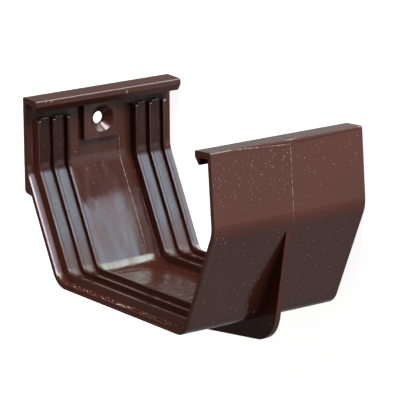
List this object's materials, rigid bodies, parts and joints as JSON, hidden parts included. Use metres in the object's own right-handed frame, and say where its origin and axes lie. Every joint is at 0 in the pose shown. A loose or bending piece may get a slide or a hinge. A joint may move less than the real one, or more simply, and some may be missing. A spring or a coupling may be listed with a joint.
{
  "type": "gutter slip connector",
  "caption": "Moulded vinyl U-shaped gutter connector with hooked lips, inner sealing ridges, an outer keel web and a countersunk screw pad for the fascia side.",
  "frame": {"origin": "middle of the bounding box on the end that the part stands on", "axes": "+Z along the gutter's run, +Y out of the open side (up in use), -X towards the fascia board, +X towards the front"},
  "size_m": [0.1328, 0.085, 0.068],
  "materials": {
    "brown_vinyl": "dark brown rigid vinyl, moulded gloss, a little dusty"
  },
  "bodies": {
    "root": {"slip_connector": "brown_vinyl"}
  },
  "joints": []
}
